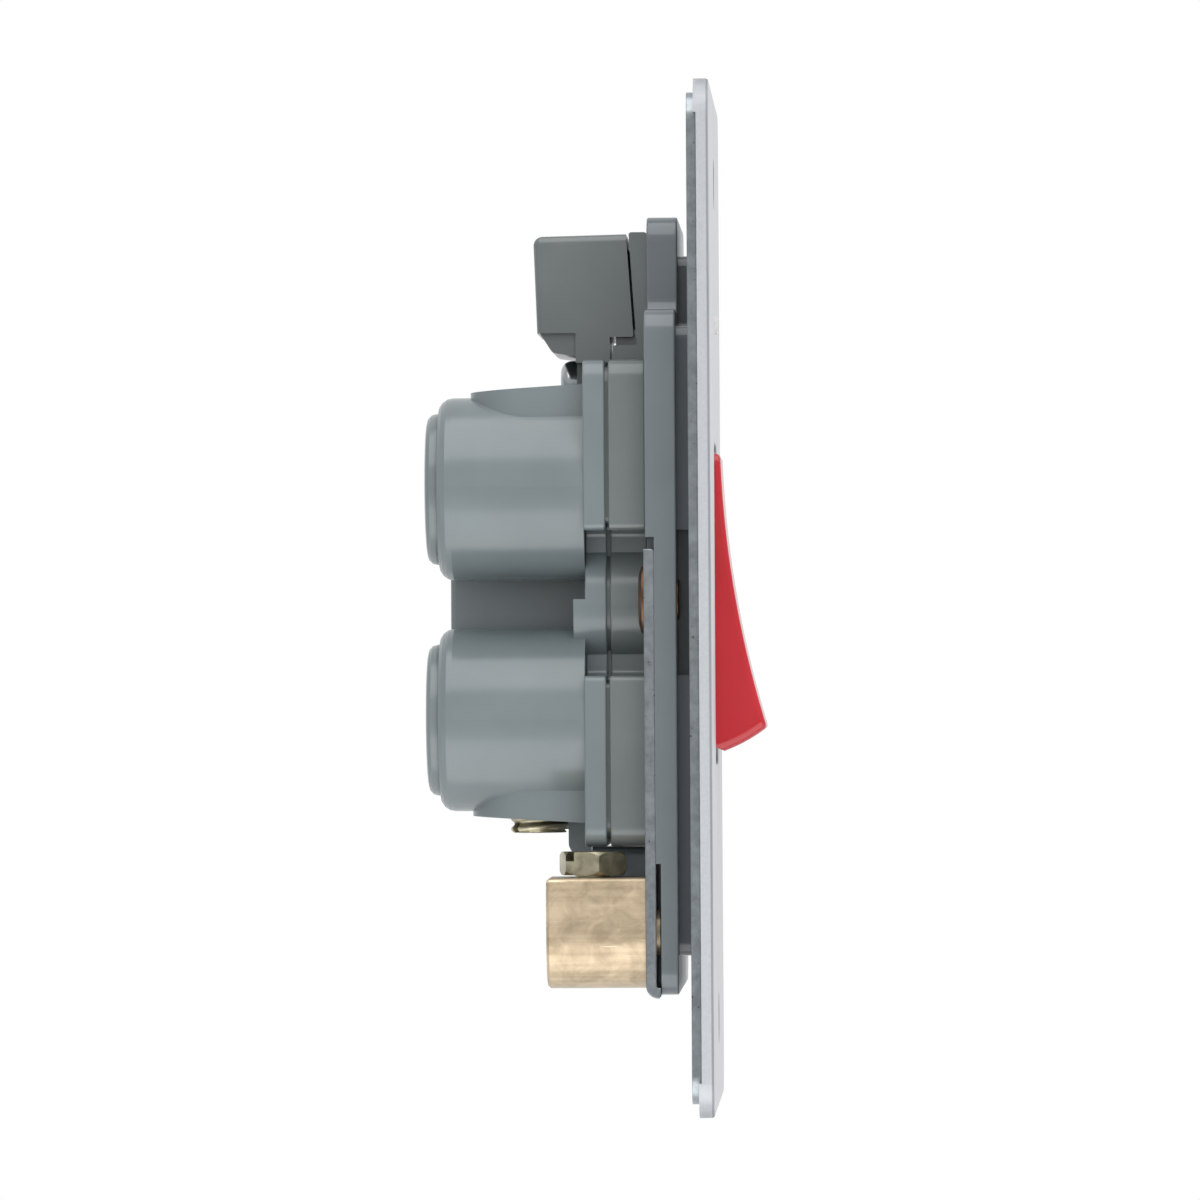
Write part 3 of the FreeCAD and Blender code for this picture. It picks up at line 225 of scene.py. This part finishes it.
def zinc_plate(name, dark, light, roughness):
    """Pressed steel with a bright zinc coat: the eye sees a bluish coat that the plating bath left
    cloudy, small dark pits, and light along the edges, which the blanking left a little round."""
    material, tree, shader, place = new_material(name, {"Metallic": 1.0, "Roughness": roughness})
    cloud = add(tree, "ShaderNodeTexNoise", {
        "Vector": place, "Scale": per_metre(cloud_mm), "Detail": 5.0, "Roughness": 0.7})
    coat = add(tree, "ShaderNodeValToRGB", {"Fac": cloud.outputs["Fac"]},
               stops=[(0.3, dark), (0.7, light)])
    pits = add(tree, "ShaderNodeTexVoronoi", {"Vector": place, "Scale": per_metre(pit_spacing_mm)})
    size = add(tree, "ShaderNodeTexNoise", {
        "Vector": place, "Scale": per_metre(pit_patch_mm), "Detail": 1.0})
    reach = add(tree, "ShaderNodeMapRange", {
        "Value": size.outputs["Fac"], "From Min": 0.5, "From Max": 0.75,
        "To Min": 0.0, "To Max": pit_share})
    inside = add(tree, "ShaderNodeMath", {
        0: pits.outputs["Distance"], 1: reach.outputs["Result"]}, operation="LESS_THAN")
    colour = add(tree, "ShaderNodeMix", {
        "Factor": inside.outputs["Value"], "A": coat.outputs["Color"], "B": linear("6A6E72")},
        data_type="RGBA")
    edge = add(tree, "ShaderNodeBevel", {"Radius": blanked_edge}, samples=4)
    fill(tree, shader, {"Base Color": colour.outputs["Result"], "Normal": edge.outputs["Normal"]})
    return material


def extruded_brass(name, dark, light, roughness):
    """Sawn leaded brass bar: the eye sees faint lines along the bar from drawing, dull blotches from
    handling and a few stray scratches, and half of the mirroring that clean brass would have."""
    material, tree, shader, place = new_material(name, {"Metallic": 0.5})
    across = per_metre(drawn_line_mm)
    drawn = add(tree, "ShaderNodeMapping", {
        "Vector": place, "Scale": (across, per_metre(stroke_mm), across)})
    lines = add(tree, "ShaderNodeTexNoise", {
        "Vector": drawn.outputs["Vector"], "Scale": 1.0, "Detail": 4.0})
    blots = add(tree, "ShaderNodeTexNoise", {
        "Vector": place, "Scale": per_metre(blot_mm), "Detail": 5.0, "Roughness": 0.65,
        "Distortion": 0.6})
    skin = add(tree, "ShaderNodeMix", {
        "Factor": drawn_share, "A": blots.outputs["Fac"], "B": lines.outputs["Fac"]})
    shade = add(tree, "ShaderNodeValToRGB", {"Fac": skin.outputs["Result"]},
                stops=[(0.38, dark), (0.62, light)])
    askew = add(tree, "ShaderNodeMapping", {
        "Vector": place, "Rotation": scratch_turn, "Scale": [per_metre(size) for size in scratch_mm]})
    marks = add(tree, "ShaderNodeTexNoise", {
        "Vector": askew.outputs["Vector"], "Scale": 1.0, "Detail": 1.0})
    scratch = add(tree, "ShaderNodeMapRange", {
        "Value": marks.outputs["Fac"], "From Min": 0.7, "From Max": 0.76,
        "To Min": 0.0, "To Max": 0.6})
    colour = add(tree, "ShaderNodeMix", {
        "Factor": scratch.outputs["Result"], "A": shade.outputs["Color"], "B": linear("E8D8B8")},
        data_type="RGBA")
    gloss = add(tree, "ShaderNodeMapRange", {
        "Value": blots.outputs["Fac"], "To Min": roughness - blot_gloss[0],
        "To Max": roughness + blot_gloss[1]})
    bump = add(tree, "ShaderNodeBump", {
        "Height": skin.outputs["Result"], "Strength": 0.15, "Distance": drawn_depth_mm * MM})
    fill(tree, shader, {"Base Color": colour.outputs["Result"], "Roughness": gloss.outputs["Result"],
                        "Normal": bump.outputs["Normal"]})
    return material


def plain_metal(name, dark, light, roughness):
    """Small turned or stamped piece: the eye sees a cloudy plating or skin, duller where handled."""
    material, tree, shader, place = new_material(name, {"Metallic": 1.0})
    cloud = add(tree, "ShaderNodeTexNoise", {
        "Vector": place, "Scale": per_metre(skin_cloud_mm), "Detail": 4.0, "Distortion": 0.5})
    shade = add(tree, "ShaderNodeValToRGB", {"Fac": cloud.outputs["Fac"]},
                stops=[(0.35, dark), (0.65, light)])
    gloss = add(tree, "ShaderNodeMapRange", {
        "Value": cloud.outputs["Fac"], "To Min": roughness + skin_gloss,
        "To Max": roughness - skin_gloss})
    fill(tree, shader, {"Base Color": shade.outputs["Color"], "Roughness": gloss.outputs["Result"]})
    return material


def clear_moulding(name, code, roughness, transmission=1.0):
    """Clear acrylic or lamp glass: the eye sees what lies behind it, a little tinted."""
    material, *_ = new_material(name, {
        "Base Color": linear(code), "Roughness": roughness, "IOR": 1.49,
        "Transmission Weight": transmission})
    return material


materials = {
    "satin_steel": brushed_steel("brushed_stainless_steel"),
    "zinc_steel": zinc_plate("zinc_plated_steel", "848A8D", "AAB0B3", 0.3),
    "grey_frame": moulded_plastic("grey_frame_plastic", "51575A", "575D60", 0.18),
    "grey_base": moulded_plastic("grey_base_plastic", "4E5453", "565B5A", 0.24),
    "grey_housing": moulded_plastic("grey_housing_plastic", "565D5F", "5D6566", 0.235),
    "grey_lamp_block": moulded_plastic("grey_lamp_plastic", "4C5150", "545857", 0.22),
    "red_rocker": moulded_plastic("red_rocker_plastic", "9D131B", "A51923", 0.16,
                                  grain_mm=0.2, grain_height_mm=0.004, ior=1.5),
    "clear_lens": clear_moulding("clear_acrylic", "FAF8F4", 0.12, transmission=0.6),
    "eyelet_brass": plain_metal("rolled_copper_eyelet", "5E4638", "725643", 0.42),
    "turned_brass": extruded_brass("extruded_brass", "93836A", "B8A58A", 0.31),
    "zinc_screw": plain_metal("passivated_zinc_screw", "969079", "BFB79D", 0.35),
    "dark_screw": plain_metal("plated_screw", "A0A4A6", "B6BABC", 0.2),
    "copper": plain_metal("rolled_copper", "BE7A56", "D08E68", 0.36),
    "contact_silver": plain_metal("contact_silver", "D2D2CE", "E2E2DE", 0.2),
    "natural_nylon": moulded_plastic("natural_nylon", "DAD8CC", "E2E0D4", 0.4),
    "spring_steel": plain_metal("spring_wire", "868686", "969696", 0.36),
    "lamp_glass": clear_moulding("lamp_glass", "F2D8C0", 0.03),
    "board_laminate": moulded_plastic("paper_laminate_board", "8E7448", "9A8050", 0.5),
    "lead_insulation": moulded_plastic("lead_insulation", "D8D6CE", "E0DED6", 0.45),
}

record = frame["record"]
joints = {joint["name"]: joint for joint in record["behaviour"]["joints"]}
node_body = {node: body for body, nodes in record["behaviour"]["bodies"].items() for node in nodes}
for part in record["subparts"]:
    frame["nodes"][part["node"]].material_slots[0].material = materials[part["material_slot"]]

# Points nearer than merge_distance become one, and faces turned past sharp_angle meet in a corner
merge_distance = 0.001 * MM
sharp_angle = math.radians(40)

# Sizes of a terminal screw, and how many points its slot, the side beside it and a chord have
screw_radius = 4.1 * MM
screw_length = 9.6 * MM
screw_chamfer = 0.35 * MM
screw_pitch = 1.5 * MM
screw_thread = 0.5 * MM
screw_slot_half = 0.6 * MM
screw_slot_depth = 1.4 * MM
slot_points = 5
side_points = 45
chord_points = 23

# Height of the thread along one pitch, as a share of screw_thread
tooth = np.array([0.0, 0.1, 0.55, 0.95, 1.0, 0.95, 0.55, 0.1])

# Side, end and turn of the slot of each terminal screw
screw_places = ((-1, 1, 0.4), (1, 1, 1.2), (-1, -1, 1.0), (1, -1, -0.5))


def riding_piece(name, points, faces, node, slot):
    """Closed piece from points and faces, merged and smooth but for its corners, in a node's place."""
    mesh = bpy.data.meshes.new(name)
    mesh.from_pydata(points, [], faces)
    work = bmesh.new()
    work.from_mesh(mesh)
    bmesh.ops.remove_doubles(work, verts=work.verts, dist=merge_distance)
    bmesh.ops.dissolve_degenerate(work, edges=work.edges, dist=merge_distance / 2)
    bmesh.ops.recalc_face_normals(work, faces=work.faces)
    work.to_mesh(mesh)
    work.free()
    mesh.shade_smooth()
    mesh.set_sharp_from_angle(angle=sharp_angle)
    mesh.materials.append(materials[slot])
    piece = bpy.data.objects.new(name, mesh)
    scene.collection.objects.link(piece)
    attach(piece, node_body[node])
    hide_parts(node)
    return piece


def quads_of(grid, start):
    """Faces between the neighbouring points of a grid, whose points are numbered from start."""
    across, along = grid.shape[:2]
    index = np.arange(across * along).reshape(across, along) + start
    corners = [index[:-1, :-1], index[1:, :-1], index[1:, 1:], index[:-1, 1:]]
    return np.stack(corners, axis=2).reshape(-1, 4)


def threaded_screw():
    """Points and faces of a slotted screw on the Z axis, from its foot at 0 to its slotted end.

    The thread is a grid of angle and row: a row climbs one pitch in a turn, and its radius is the
    core's plus the thread's height times a rounded tooth that repeats every eight rows. Rows past
    the foot close on the axis, and rows past the end close on the end's edge. The end is a grid of
    chords parallel to the slot, which sink by the slot's depth inside the slot."""
    rim = screw_radius - screw_chamfer
    slot_angle = math.asin(screw_slot_half / rim)
    within = np.linspace(-slot_angle, slot_angle, slot_points)
    beside = np.linspace(slot_angle, math.pi - slot_angle, side_points)
    half_turn = np.concatenate([within, beside])
    angles = np.concatenate([half_turn, half_turn + math.pi, within[:1] + 2 * math.pi])
    half_sunk = np.concatenate([np.ones(slot_points), np.zeros(side_points)])
    sunk = np.concatenate([half_sunk, half_sunk, half_sunk[:1]])
    top = screw_length - screw_slot_depth * sunk
    turn_rows = len(tooth)
    rows = np.arange(-turn_rows - 1, int(turn_rows * screw_length / screw_pitch) + turn_rows + 2)
    height = screw_pitch * (rows[None, :] / turn_rows + angles[:, None] / (2 * math.pi))
    radius = screw_radius - screw_thread * (1 - tooth[rows % turn_rows])[None, :] + 0 * height
    past_chamfer = np.maximum(0, height - (screw_length - screw_chamfer))
    radius = np.minimum(radius, screw_radius - past_chamfer)
    radius = np.where(height >= top[:, None], rim, radius)
    radius = np.where(height <= 0, 0, radius)
    height = np.clip(height, 0, top[:, None])
    turned = [radius * np.cos(angles)[:, None], radius * np.sin(angles)[:, None], height]
    shank = np.stack(turned, axis=2)
    outside = np.linspace(slot_angle, math.pi / 2, chord_points)
    chords = np.concatenate([-outside[::-1], within, outside])
    level = np.concatenate([np.zeros(chord_points), np.ones(slot_points), np.zeros(chord_points)])
    level = screw_length - screw_slot_depth * level
    sides = [[side * rim * np.cos(chords), rim * np.sin(chords), level] for side in (-1, 1)]
    end = np.stack([np.stack(side, axis=1) for side in sides], axis=1)
    points = np.concatenate([shank.reshape(-1, 3), end.reshape(-1, 3)])
    return points, np.concatenate([quads_of(shank, 0), quads_of(end, shank.size // 3)])


def terminal_screws():
    """The four terminal screws with their real threads, in the places of the plain ones; the lower
    two are backed out, and no two slots stand the same way."""
    low_corner, high_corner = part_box("terminal_screws")
    middle_x = high_corner[0] - screw_radius
    middle_y = (low_corner[1] + high_corner[1]) / 2
    local, quads = threaded_screw()
    points = []
    faces = []
    for side, heading, turn in screw_places:
        foot = (high_corner[2] if heading > 0 else -low_corner[2]) - screw_length
        flat_x = local[:, 0] * math.cos(turn) - local[:, 1] * math.sin(turn)
        flat_y = local[:, 0] * math.sin(turn) + local[:, 1] * math.cos(turn)
        placed = [side * middle_x + flat_x, middle_y + heading * flat_y,
                  heading * (foot + local[:, 2])]
        faces.append(quads + len(points) * len(local))
        points.append(np.stack(placed, axis=1))
    riding_piece("terminal_screw_threads", np.concatenate(points), np.concatenate(faces),
                 "terminal_screws", "zinc_screw")


def plunger_spring(pole):
    """The coil spring behind a plunger as the part has it, in a piece of its own; its seat in the
    rocker is the end furthest along the plunger's slide."""
    node = f"{pole}_plunger_spring"
    slide = joints[f"{pole}_plunger_slide"]
    source = frame["nodes"][node].data
    points = np.empty(3 * len(source.vertices))
    source.vertices.foreach_get("co", points)
    corners = np.empty(len(source.loops), dtype=np.int32)
    source.loops.foreach_get("vertex_index", corners)
    points = points.reshape(-1, 3)
    along = points @ np.array(slide["axis"])
    seat = points[along.argmax()].tolist()
    spring = riding_piece(f"{pole}_spring_coil", points, corners.reshape(-1, 3), node, "spring_steel")
    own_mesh(spring)


terminal_screws()
plunger_spring("line")
plunger_spring("neutral")

# What the lamps face, the light that comes from the room and from the paper, how bright each is in
# flat metal, and the floor below the switch; each border is where one direction's light has given
# way to the next, as the part of a unit direction that points along X or Z
switch_middle = Vector((0.0, 0.015, 0.0))
room_colour = "F6F8FA"
room_light = 3.6
sheet_light = 0.7
bench_mirrored = 0.3
wall_mirrored = 0.6
sheet_mirrored = 1.0
room_border = (-0.97, -0.5)
sheet_border = (-0.3, 0.9)
bench_border = (-0.12, 0.03)
floor_drop = 0.55
floor_half = 3.0
floor_glow = 0.7


def white_world():
    """White paper behind the switch, seen directly, through clear parts and in mirroring ones; the
    camera's side is an open grey room above a darker bench, which flat metal facing it mirrors."""
    world = bpy.data.worlds.new("studio")
    scene.world = world
    world.use_nodes = True
    tree = world.node_tree
    tree.nodes.clear()
    rays = add(tree, "ShaderNodeLightPath")
    seen = add(tree, "ShaderNodeMath", {
        0: rays.outputs["Is Camera Ray"], 1: rays.outputs["Is Transmission Ray"]},
        operation="MAXIMUM")
    heading = add(tree, "ShaderNodeTexCoord")
    apart = add(tree, "ShaderNodeSeparateXYZ", {"Vector": heading.outputs["Generated"]})
    to_sheet = add(tree, "ShaderNodeMapRange", {
        "Value": apart.outputs["X"], "From Min": sheet_border[0], "From Max": sheet_border[1],
        "To Min": 0.0, "To Max": 1.0}, interpolation_type="SMOOTHSTEP")
    wall = add(tree, "ShaderNodeMapRange", {
        "Value": apart.outputs["Z"], "From Min": bench_border[0], "From Max": bench_border[1],
        "To Min": bench_mirrored, "To Max": wall_mirrored})
    mirrored = add(tree, "ShaderNodeMix", {
        "Factor": to_sheet.outputs["Result"], "A": wall.outputs["Result"], "B": sheet_mirrored})
    lit = add(tree, "ShaderNodeMapRange", {
        "Value": apart.outputs["X"], "From Min": room_border[0], "From Max": room_border[1],
        "To Min": room_light, "To Max": sheet_light}, interpolation_type="SMOOTHSTEP")
    room = add(tree, "ShaderNodeBackground", {
        "Color": linear(room_colour), "Strength": lit.outputs["Result"]})
    mirror = add(tree, "ShaderNodeBackground", {
        "Color": linear(room_colour), "Strength": mirrored.outputs["Result"]})
    sheet = add(tree, "ShaderNodeBackground", {"Color": linear("FFFFFF"), "Strength": 1.0})
    glossy = add(tree, "ShaderNodeMixShader", {
        0: rays.outputs["Is Glossy Ray"], 1: room.outputs["Background"],
        2: mirror.outputs["Background"]})
    mixed = add(tree, "ShaderNodeMixShader", {
        0: seen.outputs["Value"], 1: glossy.outputs["Shader"], 2: sheet.outputs["Background"]})
    add(tree, "ShaderNodeOutputWorld", {"Surface": mixed.outputs["Shader"]})


def soft_lamp(name, elevation, azimuth, distance, width, height, radiance):
    """Soft box at an elevation and an azimuth from the camera's side, facing the switch."""
    data = bpy.data.lights.new(name, "AREA")
    data.shape = "RECTANGLE"
    data.size = width
    data.size_y = height
    data.energy = radiance * math.pi * width * height
    lamp = bpy.data.objects.new(name, data)
    scene.collection.objects.link(lamp)
    flat = math.cos(math.radians(elevation))
    turn = math.radians(azimuth)
    rise = math.sin(math.radians(elevation))
    away = Vector((-flat * math.cos(turn), flat * math.sin(turn), rise))
    lamp.location = switch_middle + away * distance
    lamp.rotation_euler = away.to_track_quat("Z", "Y").to_euler()
    lamp.visible_camera = False


def pale_floor():
    """White sweep under the switch, well below it because the switch hangs on a wall."""
    height = cad_low.z - floor_drop
    signs = ((-1, -1), (1, -1), (1, 1), (-1, 1))
    corners = [(x * floor_half, y * floor_half, height) for x, y in signs]
    mesh = bpy.data.meshes.new("floor")
    mesh.from_pydata(corners, [], [(0, 1, 2, 3)])
    floor = bpy.data.objects.new("floor", mesh)
    scene.collection.objects.link(floor)
    material, tree, shader, _ = new_material("white_paper_sweep", {
        "Base Color": linear("F4F4F4"), "Roughness": 0.9, "Emission Color": linear("FFFFFF")})
    rays = add(tree, "ShaderNodeLightPath")
    glow = add(tree, "ShaderNodeMath", {0: rays.outputs["Is Camera Ray"], 1: floor_glow},
               operation="MULTIPLY")
    fill(tree, shader, {"Emission Strength": glow.outputs["Value"]})
    mesh.materials.append(material)


white_world()
pale_floor()
soft_lamp("upper_box", elevation=68, azimuth=0, distance=0.85, width=1.3, height=1.0, radiance=1.95)
soft_lamp("lower_box", elevation=-55, azimuth=0, distance=0.5, width=1.0, height=0.55, radiance=1.35)
soft_lamp("front_box", elevation=45, azimuth=-85, distance=1.0, width=0.9, height=0.9, radiance=0.8)

# Camera square to the left side, a little before the plate and below the middle, with a trace of roll
camera_place = Vector((-1.2599, -0.02409, -0.01272))
camera_aim = Vector((0.0, 0.013692, 0.000195))
camera_roll = math.radians(0.368)
camera_data = bpy.data.cameras.new("camera")
camera_data.sensor_width = 36.0
camera_data.lens = 261.1
camera = bpy.data.objects.new("camera", camera_data)
scene.collection.objects.link(camera)
level = (camera_aim - camera_place).to_track_quat("-Z", "Y").to_matrix().to_4x4()
rolled = Matrix.Rotation(-camera_roll, 4, "Z")
camera.matrix_world = Matrix.Translation(camera_place) @ level @ rolled
scene.camera = camera
scene.view_settings.view_transform = "Standard"
